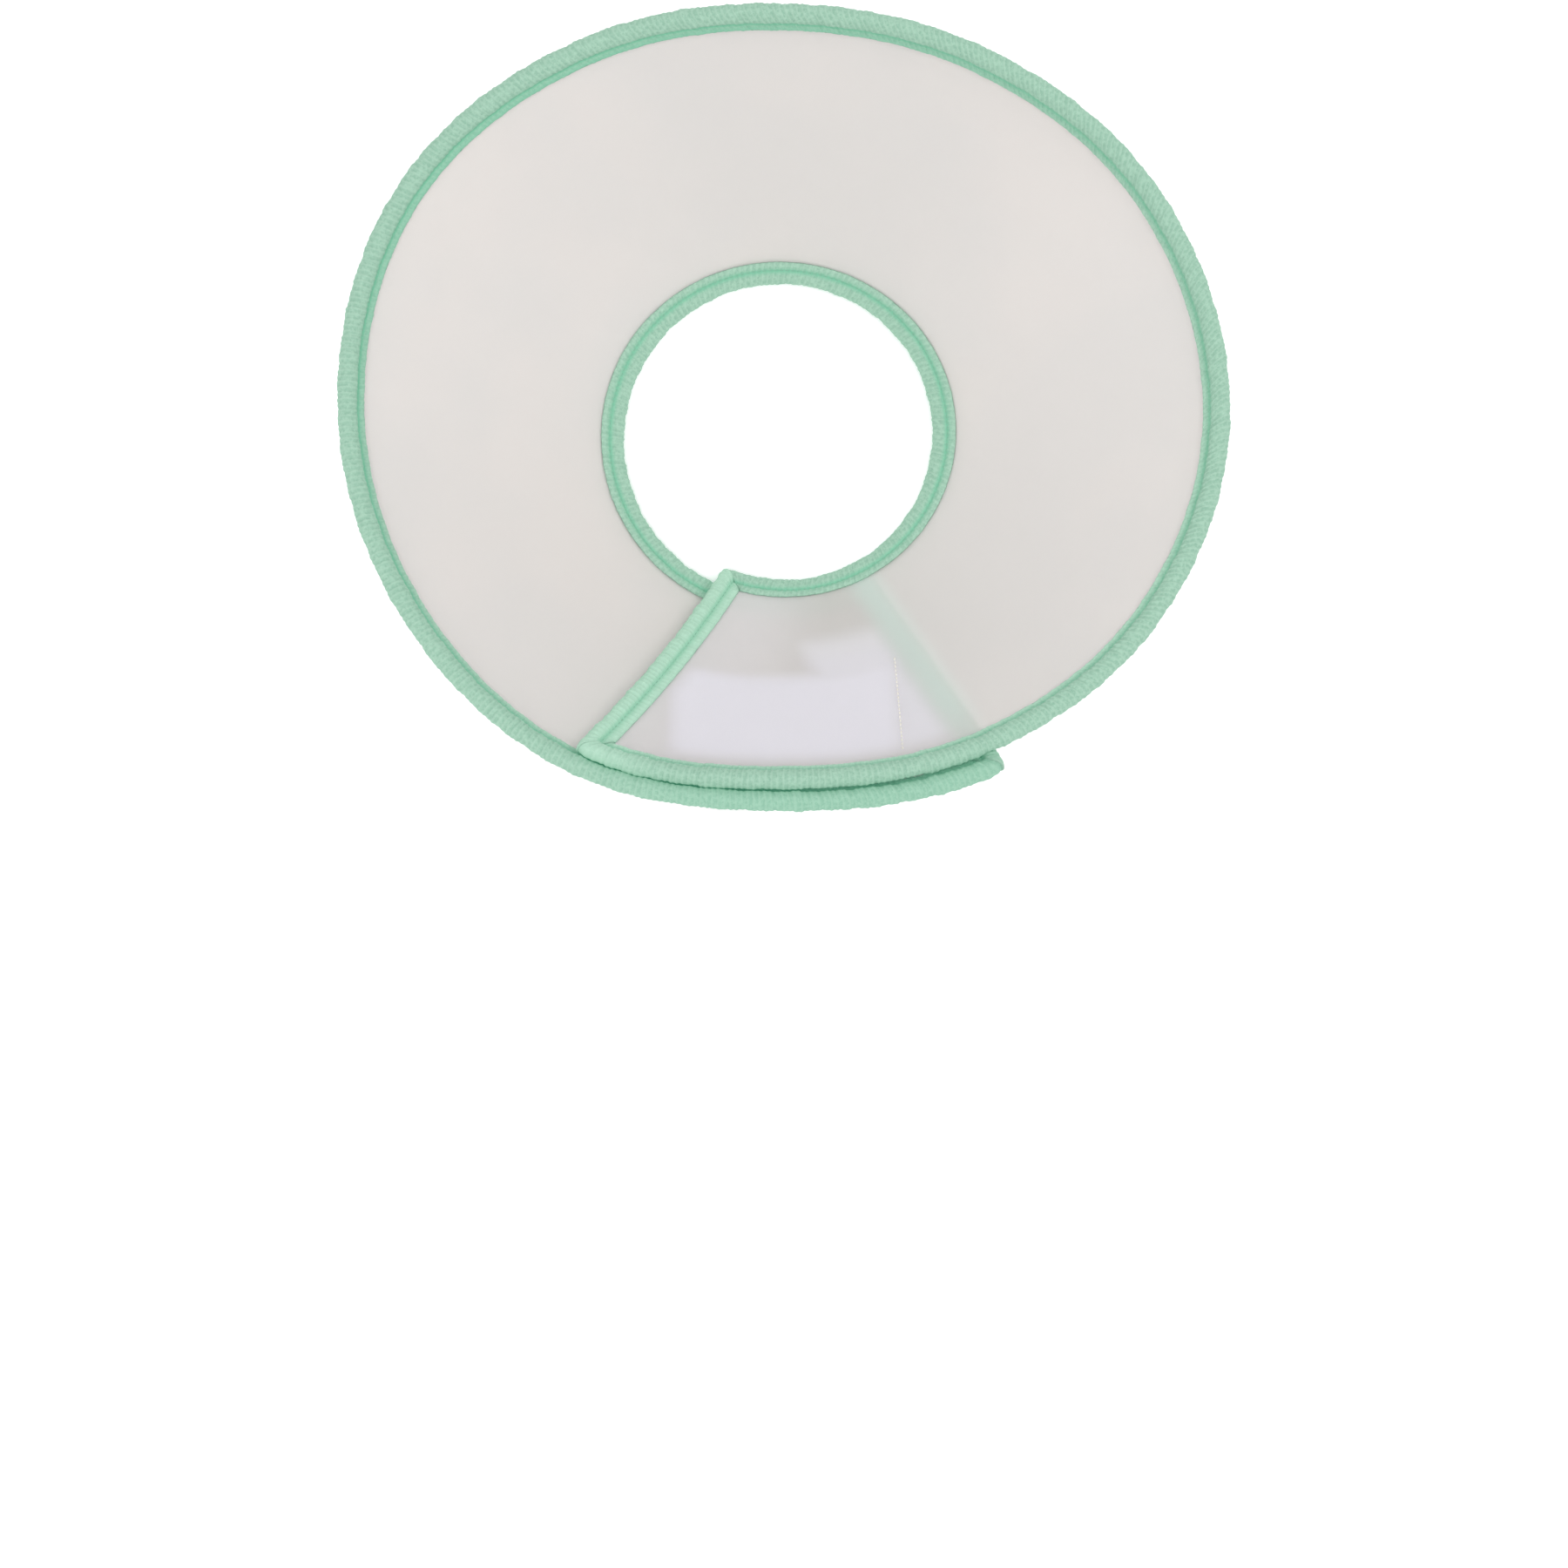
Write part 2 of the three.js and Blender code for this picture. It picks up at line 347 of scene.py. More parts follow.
class Shader:
    """A material and the nodes added to it."""

    def __init__(self, name):
        self.material = bpy.data.materials.new(name)
        self.material.use_nodes = True
        self.nodes = self.material.node_tree.nodes
        self.links = self.material.node_tree.links
        self.surface = self.nodes["Principled BSDF"]

    def node(self, kind, settings=None, sockets=None):
        made = self.nodes.new(kind)
        for name, value in (settings or {}).items():
            if name == "stops":
                self.set_stops(made.color_ramp, value)
            else:
                setattr(made, name, value)
        self.fill(made, sockets or {})
        return made

    def set_stops(self, ramp, stops):
        while len(ramp.elements) < len(stops):
            ramp.elements.new(0.5)
        for element, (position, colour) in zip(ramp.elements, stops):
            element.position = position
            element.color = (*colour, 1.0)

    def fill(self, node, sockets):
        for key, value in sockets.items():
            if isinstance(value, Socket):
                self.links.new(value.link, node.inputs[key])
            elif isinstance(value, bpy.types.NodeSocket):
                self.links.new(value, node.inputs[key])
            elif hasattr(value, "__len__") and node.inputs[key].type == "RGBA":
                node.inputs[key].default_value = (*value, 1.0)
            else:
                node.inputs[key].default_value = value

    def number(self, kind, settings=None, sockets=None, output=0):
        return Socket(self, self.node(kind, settings, sockets).outputs[output])

    def attribute(self, name):
        return self.number("ShaderNodeAttribute", {"attribute_name": name}, output="Fac")

    def mix(self, share, first, second):
        """A colour between two, through the mix node's colour sockets."""
        settings = {"data_type": "RGBA", "clamp_factor": True}
        made = self.node("ShaderNodeMix", settings, {0: share, 6: first, 7: second})
        return made.outputs[2]

    def smooth(self, value, low, high):
        settings = {"interpolation_type": "SMOOTHSTEP"}
        sockets = {"Value": value, "From Min": low, "From Max": high}
        return self.number("ShaderNodeMapRange", settings, sockets)

    def noise(self, place, scale, detail):
        sockets = {"Vector": place, "Scale": scale, "Detail": detail}
        return self.number("ShaderNodeTexNoise", None, sockets)

    def bump(self, strength, distance, height):
        sockets = {"Strength": strength, "Distance": distance, "Height": height}
        return self.node("ShaderNodeBump", None, sockets).outputs["Normal"]

    def finish(self, sockets):
        self.fill(self.surface, sockets)
        return self.material


def smooth_step(value, low, high):
    """0 up to low and 1 from high on, with a smooth rise between them."""
    share = np.clip((value - low) / (high - low), 0, 1)
    return share * share * (3 - 2 * share)


class Wall:
    """The cone's wall, as a map from turn, rise and lift to places in the frame."""

    def __init__(self, sizes):
        self.neck_radius = sizes.neck_radius
        self.rim_reach = sizes.rim_reach
        self.slant = math.hypot(sizes.rim_reach - sizes.neck_radius, sizes.cone_depth)
        self.inset = sizes.tape_cover + sizes.clearance
        self.slot_half = sizes.sheet_thickness / 2 + sizes.clearance
        self.layer_gap = ROLLS["rim"][2] + ROLLS["rim"][3] + 4 * sizes.clearance

    def rim_share(self, turn):
        """Share of the rim's reach at a turn: a smooth curve through the outline's points."""
        shares = np.array([share for _, share in RIM_OUTLINE])
        count = len(shares)
        place = np.mod(turn, 360) / 360 * count
        index = np.floor(place).astype(int)
        part = place - index
        before, here, after, beyond = (shares[(index + step) % count] for step in (-1, 0, 1, 2))
        start = (after - before) / 2
        stop = (beyond - here) / 2
        square = 3 * (after - here) - 2 * start - stop
        cube = 2 * (here - after) + start + stop
        return here + part * (start + part * (square + part * cube))

    def spread(self, turn):
        """How far the wall is moved outwards, so that the outer layer clears the inner one."""
        wrapped = smooth_step(turn, OUTER_END - 360, INNER_END + 360)
        return self.layer_gap * wrapped + STAND_OFF * smooth_step(turn, STAND_OFF_START, OUTER_END)

    def outward_run(self, turn):
        """How far the wall goes outwards for each step of rise."""
        return (self.rim_reach * self.rim_share(turn) - self.neck_radius) / self.slant

    def reach(self, turn, rise):
        return self.neck_radius + self.spread(turn) + self.outward_run(turn) * rise

    def point(self, turn, rise):
        angle = np.radians(turn)
        reach = self.reach(turn, rise)
        upward = np.sqrt(1 - self.outward_run(turn) ** 2)
        return np.stack([reach * np.sin(angle), -reach * np.cos(angle), rise * upward], axis=-1)

    def place(self, turn, rise, lift):
        """The place in the frame of a turn, a rise and a lift."""
        turn, rise, lift = np.broadcast_arrays(turn, rise, lift)
        small_turn = 0.2
        here = self.point(turn, rise)
        upwards = self.point(turn, rise + MM) - here
        onwards = self.point(turn + small_turn, rise) - here
        inwards = np.cross(upwards, onwards)
        inwards /= np.linalg.norm(inwards, axis=-1, keepdims=True)
        return here + inwards * lift[..., None] + np.array(CENTRING)

    def inner_end(self, rise):
        """The turn of the sheet's inner end, which leans."""
        return INNER_END + INNER_LEAN * (1 - rise / self.slant)

    def inset_turn(self, wrap, rise):
        """The turn at a share of the wrap, counted between the inner edges of both ends' lips."""
        first = self.inner_end(rise)
        start = first + np.degrees(self.inset / self.reach(first, rise))
        stop = OUTER_END - np.degrees(self.inset / self.reach(OUTER_END, rise))
        return start + (stop - start) * wrap


class Binding:
    """The knitted binding along one edge of the sheet, from corner to corner.

    A path runs from 0 to 3: the first corner, the straight stretch, and the second corner.
    """

    def __init__(self, wall, sizes, edge):
        self.wall = wall
        self.sizes = sizes
        self.edge = edge
        self.mitre = sizes.clearance / math.sqrt(2)
        self.roll = ROLLS[edge if edge in ROLLS else "end"]

    def stations(self, path):
        """Share of the wrap and rise of each path, the way out from there, and the mitre's slip."""
        wall = self.wall
        corner = np.where(path < 1, path, np.where(path > 2, 3 - path, 1.0))
        share = np.clip(path - 1, 0, 1)
        side = np.where(path < 1.5, -1.0, 1.0)
        if self.edge in ("rim", "neck"):
            angle = np.radians(45 + 45 * corner)
            level = 1.0 if self.edge == "rim" else -1.0
            rise = np.full_like(path, wall.slant - wall.inset if level > 0 else wall.inset)
            wrap = share
            slip = -side * self.mitre * (1 - corner)
        else:
            angle = np.radians(45 - 45 * corner)
            level = np.where(path < 1.5, 1.0, -1.0)
            top = wall.slant - wall.inset - self.mitre
            rise = top + (wall.inset + self.mitre - top) * share
            side = np.full_like(path, -1.0 if self.edge == "inner_end" else 1.0)
            wrap = np.full_like(path, 0.0 if self.edge == "inner_end" else 1.0)
            slip = np.zeros_like(path)
        across = np.cos(angle)
        along = np.sin(angle)
        stretch = (across**CORNER_POWER + along**CORNER_POWER) ** (-1 / CORNER_POWER)
        return wrap, rise, side * across * stretch, level * along * stretch, slip

    def place(self, path, out, lift):
        wrap, base_rise, around, over, slip = self.stations(path)
        rise = base_rise + out * over
        line = self.wall.inset_turn(wrap, rise)
        sideways = out * around + slip
        turn = line + np.degrees(sideways / self.wall.reach(line, rise))
        spot = self.wall.place(turn, rise, lift)
        spot[..., 2] = np.maximum(spot[..., 2], 0.0)
        return spot

    def groove_line(self):
        """How far out the sewn groove lies, and the height of its bottom."""
        width, overhang = self.roll[:2]
        out = self.wall.inset + overhang - width
        top = self.wall.slot_half + self.sizes.lip_thickness
        return out, top - self.sizes.groove_depth

    def even_paths(self, out, lift, step):
        """Paths at even steps along the line at an out and lift, and the line's length."""
        samples = 6001
        path = np.linspace(0, 3, samples)
        spots = self.place(path, np.full_like(path, out), np.full_like(path, lift))
        steps = np.linalg.norm(np.diff(spots, axis=0), axis=-1)
        length = np.concatenate([[0], np.cumsum(steps)])
        count = max(2, round(length[-1] / step))
        evenly = np.linspace(0, length[-1], count + 1)
        return np.interp(evenly, length, path), length[-1]

    def section(self):
        """The closed section: out, lift, share of the ribs' height, and how deep the seam's painted
        shade is.

        The last value is below 0 on the lips, which get painted light in front and painted shade
        behind, set apart.
        """
        wall = self.wall
        sizes = self.sizes
        width, overhang, front, back = self.roll
        lip_edge = wall.inset - sizes.tape_cover
        lip_top = wall.slot_half + sizes.lip_thickness
        middle = wall.inset + overhang - width / 2
        groove, groove_top = self.groove_line()
        round_edge = 0.8 * sizes.lip_thickness
        edge_angles = (0, 25, 50, 75)
        lip_ribs = 0.6
        on_lip = -0.9
        rows = []
        for angle in edge_angles:
            out = lip_edge + round_edge * (1 - math.cos(math.radians(angle)))
            lift = wall.slot_half + sizes.lip_thickness * math.sin(math.radians(angle))
            rows.append((out, lift, lip_ribs, on_lip))
        shoulder = groove - 1.1 * MM
        slope = groove - 0.5 * MM
        crown = 0.12 * MM
        rows.append(((lip_edge + shoulder) / 2, lip_top + crown, 0.8, on_lip))
        rows.append((shoulder, lip_top, lip_ribs, 0.3))
        rows.append((slope, lip_top - 0.55 * sizes.groove_depth, 0.4, 0.65))
        rows.append((groove, groove_top, 0.2, 0.8))
        back_rows = [(out, -lift, rib, seam) for out, lift, rib, seam in reversed(rows)]
        power = 2.5
        roll_start = 150
        seam_start = 120
        roll_rows = 21
        for angle in np.linspace(roll_start, -roll_start, roll_rows):
            across = math.cos(math.radians(angle))
            high = math.sin(math.radians(angle))
            stretch = (abs(across) ** power + abs(high) ** power) ** (-1 / power)
            height = front if angle > 0 else back
            near_seam = (abs(angle) - seam_start) / (roll_start - seam_start)
            seam = min(1.0, max(0.0, near_seam)) ** 1.3
            out = middle + width / 2 * across * stretch
            rows.append((out, height * high * stretch, 1.0 - 0.5 * seam, 0.75 * seam))
        rows.extend(back_rows)
        inner = wall.inset + 1.5 * sizes.clearance
        rows.append((inner, -wall.slot_half, 0.0, 0.5))
        rows.append((inner, wall.slot_half, 0.0, 0.5))
        return np.array(rows)


def new_piece(name, data):
    piece = bpy.data.objects.new(name, data)
    bpy.context.scene.collection.objects.link(piece)
    return piece


def thicken(piece, thickness):
    thick = piece.modifiers.new("Thickness", "SOLIDIFY")
    thick.thickness = thickness
    thick.offset = 0.0
    thick.use_even_offset = True


def warped_grid(name, columns, rows, place, closed=False):
    """A grid of faces, laid along a surface.

    place takes the column and row of each vertex, and gives its place, its UV and its attributes.
    A closed grid joins its last row to its first, and its two open ends are filled.
    """
    shape = bmesh.new()
    bmesh.ops.create_grid(shape, x_segments=columns, y_segments=rows, size=1.0)
    mesh = bpy.data.meshes.new(name)
    shape.to_mesh(mesh)
    flat = np.empty(len(mesh.vertices) * 3, dtype=np.float32)
    mesh.vertices.foreach_get("co", flat)
    flat = flat.reshape(-1, 3).astype(float)
    column = np.rint((flat[:, 0] + 1) / 2 * columns).astype(int)
    row = np.rint((flat[:, 1] + 1) / 2 * rows).astype(int)
    spots, uv, attributes = place(column, row)
    mesh.vertices.foreach_set("co", spots.astype(np.float32).ravel())
    corners = np.empty(len(mesh.loops), dtype=np.int32)
    mesh.loops.foreach_get("vertex_index", corners)
    layer = mesh.uv_layers.new(name="Tape")
    layer.data.foreach_set("uv", uv[corners].astype(np.float32).ravel())
    for key, values in attributes.items():
        attribute = mesh.attributes.new(key, "FLOAT", "POINT")
        attribute.data.foreach_set("value", values.astype(np.float32))
    shape.clear()
    shape.from_mesh(mesh)
    if closed:
        shape.verts.ensure_lookup_table()
        seam = [shape.verts[index] for index in np.flatnonzero((row == 0) | (row == rows))]
        bmesh.ops.remove_doubles(shape, verts=seam, dist=1e-7)
        open_edges = [edge for edge in shape.edges if edge.is_boundary]
        bmesh.ops.holes_fill(shape, edges=open_edges, sides=0)
    bmesh.ops.recalc_face_normals(shape, faces=shape.faces)
    shape.to_mesh(mesh)
    shape.free()
    mesh.shade_smooth()
    return new_piece(name, mesh)


def settle(piece, material, slot, *nodes):
    """Gives a piece its material, hangs it from the root body, and hides the named CAD parts."""
    piece.data.materials.append(material)
    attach(piece, "root")
    if nodes:
        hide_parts(*nodes)
    return piece


def rough_line(distance, seed, waves, height):
    """A smooth uneven line, from a few waves of the lengths given."""
    draws = np.random.default_rng(seed)
    total = np.zeros_like(distance)
    for wave in waves:
        total += np.sin(2 * np.pi * (distance / wave + draws.random())) * draws.uniform(0.6, 1.0)
    return total * height / len(waves)


def round_rim(share, mean, swing, highest):
    """A value that swings about its mean once round the rim, highest at one turn."""
    turn = INNER_END + (OUTER_END - INNER_END) * share
    return mean + swing * np.cos(np.radians(turn - highest))


def rib_lean(edge, share):
    """How far the ribs slant along the tape for each step outwards, at a share of its length."""
    corner = 0.03
    near_end = smooth_step(share, 0.0, corner) * smooth_step(1 - share, 0.0, corner)
    if edge != "rim":
        return 0.12 * near_end
    return round_rim(share, 0.4, 0.45, 120) * near_end


def seam_shade(edge, share):
    """How deep the seam's painted shade is along the tape: least on the right of the rim."""
    if edge == "rim":
        return round_rim(share, 0.95, 0.2, 240)
    return np.full_like(share, 1.0 if edge == "neck" else 0.6)


def lip_light_and_shade(edge, share):
    """How much painted light the lips take, paler than the roll: most at the front; below 0, at the
    back, they take the seam's painted shade.
    """
    if edge == "rim":
        return round_rim(share, 0.1, 0.8, 25)
    return np.full_like(share, 0.1)


def knit_light_and_shade(edge, share):
    """How much painted light the knit takes: most on the inner end; below 0, on the rim's lower layer,
    painted shade from the roll above.
    """
    if edge == "inner_end":
        return np.full_like(share, 1.0)
    if edge != "rim":
        return np.zeros_like(share)
    first_corner = 0.8 * smooth_step(-share, -0.03, 0.0)
    lower_layer = 0.7 * smooth_step(share, 0.84, 0.92)
    return first_corner - lower_layer


def section_normals(section):
    """The way out of the section's line at each of its rows."""
    ahead = np.roll(section[:, :2], -1, axis=0) - np.roll(section[:, :2], 1, axis=0)
    ahead /= np.linalg.norm(ahead, axis=1, keepdims=True)
    return np.stack([-ahead[:, 1], ahead[:, 0]], axis=1)


def knit_piece(wall, sizes, edge, seed):
    """One edge's binding, with real ribs across it."""
    binding = Binding(wall, sizes, edge)
    section = binding.section()
    width, overhang, front, _ = binding.roll
    middle = wall.inset + overhang - width / 2
    paths, length = binding.even_paths(middle, front, sizes.rib_pitch / RIB_COLUMNS)
    distance = np.linspace(0, length, len(paths))
    share = distance / length
    closed = np.vstack([section, section[:1]])
    steps = np.hypot(np.diff(closed[:, 0]), np.diff(closed[:, 1]))
    round_it = np.concatenate([[0], np.cumsum(steps)])
    normals = section_normals(section)
    normals = np.vstack([normals, normals[:1]])
    rib_waves = (3.7 * MM, 5.9 * MM, 13 * MM)
    pull_waves = (6.3 * MM, 9.1 * MM, 14.7 * MM, 31 * MM)
    fall_waves = (6.1 * MM, 9.7 * MM, 17 * MM, 44 * MM)
    ribs = np.cos(np.arange(len(paths)) * 2 * np.pi / RIB_COLUMNS) * sizes.rib_height / 2
    ribs = ribs * (1 + rough_line(distance, seed + 2, rib_waves, 1.2))
    pull = rough_line(distance, seed, pull_waves, 0.5 * MM)
    fall = rough_line(distance, seed + 1, fall_waves, 0.35 * MM)
    lean = rib_lean(edge, share)
    depth = seam_shade(edge, share)
    blend = knit_light_and_shade(edge, share)
    lips = lip_light_and_shade(edge, share)

    def place(column, row):
        rib_share = closed[row, 2]
        puff = (ribs[column] + pull[column]) * rib_share
        out = closed[row, 0] + normals[row, 0] * puff
        lift = closed[row, 1] + normals[row, 1] * (puff + fall[column] * rib_share)
        slide = lean[column] * (closed[row, 0] - middle)
        path = np.interp(distance[column] + slide, distance, paths)
        spots = binding.place(path, out, lift)
        uv = np.stack([distance[column], round_it[row]], axis=1)
        # The lips at the back take painted shade through the seam value, the lips in front take
        # painted light
        on_lip = np.maximum(-closed[row, 3], 0.0)
        seam = np.clip(closed[row, 3] * depth[column], 0.0, 1.0)
        seam = seam + on_lip * np.maximum(-lips[column], 0.0)
        faded = blend[column] + on_lip * np.maximum(lips[column], 0.0)
        return spots, uv, {"seam": seam, "faded": faded}

    name = edge + "_binding_knit"
    return warped_grid(name, len(paths) - 1, len(section), place, closed=True)


def stitch_row(shape, spots, directions, length, radius):
    """Adds one short thread at each spot, lying along its direction."""
    thread = bmesh.new()
    bmesh.ops.create_uvsphere(thread, u_segments=6, v_segments=5, radius=1.0)
    plain = bpy.data.meshes.new("thread")
    thread.to_mesh(plain)
    thread.free()
    for spot, direction in zip(spots, directions):
        turned = Vector(direction).to_track_quat("Z", "Y").to_matrix().to_4x4()
        stretched = Matrix.Diagonal((radius, radius, length / 2, 1.0))
        matrix = Matrix.Translation(Vector(spot)) @ turned @ stretched
        plain.transform(matrix)
        shape.from_mesh(plain)
        plain.transform(matrix.inverted())
    bpy.data.meshes.remove(plain)


def stitch_piece(name, shape):
    mesh = bpy.data.meshes.new(name)
    shape.to_mesh(mesh)
    shape.free()
    mesh.shade_smooth()
    return new_piece(name, mesh)


def patch_edges(wall, sizes, patch, rise):
    """The turns at which a patch starts and ends at a rise, clear of the end bindings' lips."""
    reach = wall.reach(patch["line"], rise)
    lips = np.degrees((wall.inset + sizes.clearance) / reach)
    start = np.maximum(patch["line"] + np.degrees(patch["from"] / reach), wall.inner_end(rise) + lips)
    stop = np.minimum(patch["line"] + np.degrees(patch["to"] / reach), OUTER_END - lips)
    return start, stop


def patch_rises(wall, sizes, patch):
    high = wall.slant - sizes.tape_cover - sizes.patch_below_rim
    return high - patch["height"], high


def patch_cover(wall, sizes, patch, turn, rise):
    """1 where a patch lies against the wall, fading to 0 round its edges."""
    blend = 8 * MM
    reach = wall.reach(patch["line"], rise)
    low, high = patch_rises(wall, sizes, patch)
    start, stop = patch_edges(wall, sizes, patch, rise)
    along = smooth_step(np.radians(turn - start) * reach, -blend, blend)
    along = along * smooth_step(np.radians(stop - turn) * reach, -blend, blend)
    return along * smooth_step(rise, low - blend, low + blend) * smooth_step(high - rise, -blend, blend)


def binding_shade(wall, sizes, turn, rise):
    """1 where the outer end's binding lies behind the inner layer, fainter towards the rim."""
    blend = 5.5 * MM
    overhang = ROLLS["end"][1]
    faint_from = wall.slant - 35 * MM
    faint_to = wall.slant - 9 * MM
    past_edge = np.radians(turn + 360 - OUTER_END) * wall.reach(turn, rise)
    lips = smooth_step(past_edge, -sizes.tape_cover - blend, -sizes.tape_cover + blend)
    roll = smooth_step(-past_edge, -overhang - blend, -overhang + blend)
    fainter = 1 - 0.5 * smooth_step(rise, faint_from, faint_to)
    return lips * roll * fainter


def frosted_material(colours):
    shader = Shader("Frosted plastic")
    place = shader.node("ShaderNodeTexCoord").outputs["Object"]
    grain = shader.noise(place, scale=1400.0, detail=3.0)
    cloud = shader.noise(place, scale=14.0, detail=2.0)
    warm = tuple(colours.sheet)
    cool = (warm[0] * 0.975, warm[1] * 0.985, warm[2] * 0.99)
    tone = shader.mix(shader.smooth(cloud, 0.35, 0.65), warm, cool)
    # Painted light where the patches lie behind the plastic, with their lilac seen through
    tone = shader.mix(shader.attribute("backed"), tone, tuple(colours.backed_lit_sheet))
    tone = shader.mix(shader.attribute("shaded"), tone, tuple(colours.shaded_sheet))
    plastic = shader.finish(
        {
            "Base Color": tone,
            "Roughness": 0.42 + (grain - 0.5) * 0.12,
            "IOR": 1.3,
            "Transmission Weight": 0.4,
            "Specular IOR Level": 0.35,
            "Normal": shader.bump(0.12, 0.1 * MM, grain),
        }
    )
    lets_light_by(shader, 0.75)
    return plastic


def lets_light_by(shader, share):
    """Lets a share of the lamps' light through, so that what lies behind the plastic is lit."""
    ray = shader.node("ShaderNodeLightPath").outputs["Is Shadow Ray"]
    clear = shader.node("ShaderNodeBsdfTransparent").outputs["BSDF"]
    sockets = {0: Socket(shader, ray) * share, 1: shader.surface.outputs["BSDF"], 2: clear}
    both = shader.node("ShaderNodeMixShader", None, sockets)
    output = shader.nodes["Material Output"]
    shader.links.new(both.outputs["Shader"], output.inputs["Surface"])


def knit_material(sizes, colours):
    shader = Shader("Mint knit")
    tape = shader.node("ShaderNodeUVMap", {"uv_map": "Tape"}).outputs["UV"]
    parts = shader.node("ShaderNodeSeparateXYZ", None, {"Vector": tape})
    along = Socket(shader, parts.outputs["X"])
    round_it = Socket(shader, parts.outputs["Y"])
    seam = shader.attribute("seam")
    blend = shader.attribute("faded")
    place = shader.node("ShaderNodeTexCoord").outputs["Object"]
    fuzz = shader.noise(place, scale=2600.0, detail=4.0)
    tufts = shader.noise(place, scale=700.0, detail=3.0)
    loop_pitch = 0.8 * MM
    turns = 2 * math.pi / sizes.rib_pitch
    loop_turns = 2 * math.pi / loop_pitch
    bend = (tufts - 0.5) * 4.0
    wave = shader.number("ShaderNodeMath", {"operation": "COSINE"}, {0: along * turns + bend})
    fine = shader.number("ShaderNodeMath", {"operation": "COSINE"}, {0: along * turns * 2 + bend})
    rib = wave * 0.5 + 0.5
    loops = shader.number("ShaderNodeMath", {"operation": "SINE"}, {0: round_it * loop_turns + bend})
    loose = (fuzz - 0.5) * 1.4 + (tufts - 0.5) * 1.1
    # Painted shade in the valleys between the ribs, lighter on their crests
    crest = shader.smooth(rib * 0.5 + fine * 0.1 + loose + 0.3, 0.0, 1.0)
    knit = shader.mix(crest, tuple(colours.knit_valley_shade), tuple(colours.knit))
    pale = tuple(min(1.0, part * 1.1) for part in colours.knit)
    knit = shader.mix(shader.smooth(tufts, 0.4, 0.7) * 0.45, knit, pale)
    # Painted light: a lighter knit where the attribute is above 0; painted shade, the groove's colour,
    # where it is below 0
    faded = tuple(min(1.0, part * LIT_GAIN) for part in colours.knit)
    knit = shader.mix(blend * LIT_SHARE, knit, faded)
    knit = shader.mix(blend * -SHADED_SHARE, knit, tuple(colours.groove))
    # Painted shade: the groove's darker green in the seams and creases
    tone = shader.mix(seam, knit, tuple(colours.groove))
    height = rib * 0.45 + fine * 0.1 + fuzz * 0.6 + tufts * 0.5 + loops * rib * 0.16
    return shader.finish(
        {
            "Base Color": tone,
            "Roughness": 0.92,
            "Specular IOR Level": 0.2,
            "Sheen Weight": 0.2,
            "Sheen Roughness": 0.6,
            "Sheen Tint": tuple(colours.knit),
            "Normal": shader.bump(0.8, 0.3 * MM, height),
            **KNIT_GLOW,
        }
    )


def thread_material(name, colour):
    shader = Shader(name)
    place = shader.node("ShaderNodeTexCoord").outputs["Object"]
    fibre = shader.noise(place, scale=3200.0, detail=3.0)
    shade = tuple(part * 0.82 for part in colour)
    tone = shader.mix(shader.smooth(fibre, 0.35, 0.65), shade, tuple(colour))
    bump = shader.bump(0.4, 0.1 * MM, fibre)
    return shader.finish({"Base Color": tone, "Roughness": 0.8, "Normal": bump})


def pile_material(colours):
    shader = Shader("Patch pile")
    place = shader.node("ShaderNodeTexCoord").outputs["Object"]
    curls = shader.noise(place, scale=1500.0, detail=5.0)
    tufts = shader.number("ShaderNodeTexVoronoi", None, {"Vector": place, "Scale": 620.0})
    light = tuple(colours.patch)
    dark = tuple(part * 0.84 for part in light)
    tone = shader.mix(shader.smooth(curls, 0.3, 0.65), dark, light)
    return shader.finish(
        {
            "Base Color": tone,
            "Roughness": 0.95,
            "Sheen Weight": 0.2,
            "Normal": shader.bump(0.6, 0.4 * MM, curls + tufts * 0.5),
        }
    )


class COLLAR_OT_sheet(bpy.types.Operator):
    """Make the frosted sheet, wrapped into a cone that overlaps itself at the front"""

    bl_idname = "collar.sheet"
    bl_label = "Frosted sheet"

    def execute(self, context):
        sizes = context.scene.collar_sizes
        wall = Wall(sizes)
        columns, rows = 460, 36
        end_columns = 8
        hem = 1.5 * MM
        edge = wall.inset - hem

        def place(column, row):
            share = column / columns
            rise = hem + (wall.slant - 2 * hem) * row / rows
            near_start = np.clip(1 - column / end_columns, 0, 1)
            near_stop = np.clip(1 - (columns - column) / end_columns, 0, 1)
            wrap = np.clip((column - end_columns) / (columns - 2 * end_columns), 0, 1)
            line = wall.inset_turn(wrap, rise)
            sideways = edge * (near_stop - near_start)
            turn = line + np.degrees(sideways / wall.reach(line, rise))
            spots = wall.place(turn, rise, np.zeros_like(rise))
            uv = np.stack([share, row / rows], axis=1)
            loops = patch_cover(wall, sizes, LOOP_PATCH, turn, rise)
            hooks = patch_cover(wall, sizes, HOOK_PATCH, turn + 360, rise)
            shade = binding_shade(wall, sizes, turn, rise)
            beside_end = smooth_step(wall.inner_end(rise) + END_ZONE - turn, 0.0, END_ZONE_EDGE)
            # Painted light: the zone over the patches and beside the inner end is made brighter and
            # more lilac
            backed = np.maximum(loops, HOOK_BACKED_LIGHT * hooks)
            backed = np.maximum(backed, END_BACKED_LIGHT * beside_end)
            return spots, uv, {"backed": backed, "shaded": shade}

        piece = warped_grid("cone_sheet_frosted", columns, rows, place)
        thicken(piece, sizes.sheet_thickness)
        settle(piece, frosted_material(context.scene.collar_colours), "frosted_sheet", "cone_sheet")
        return {"FINISHED"}


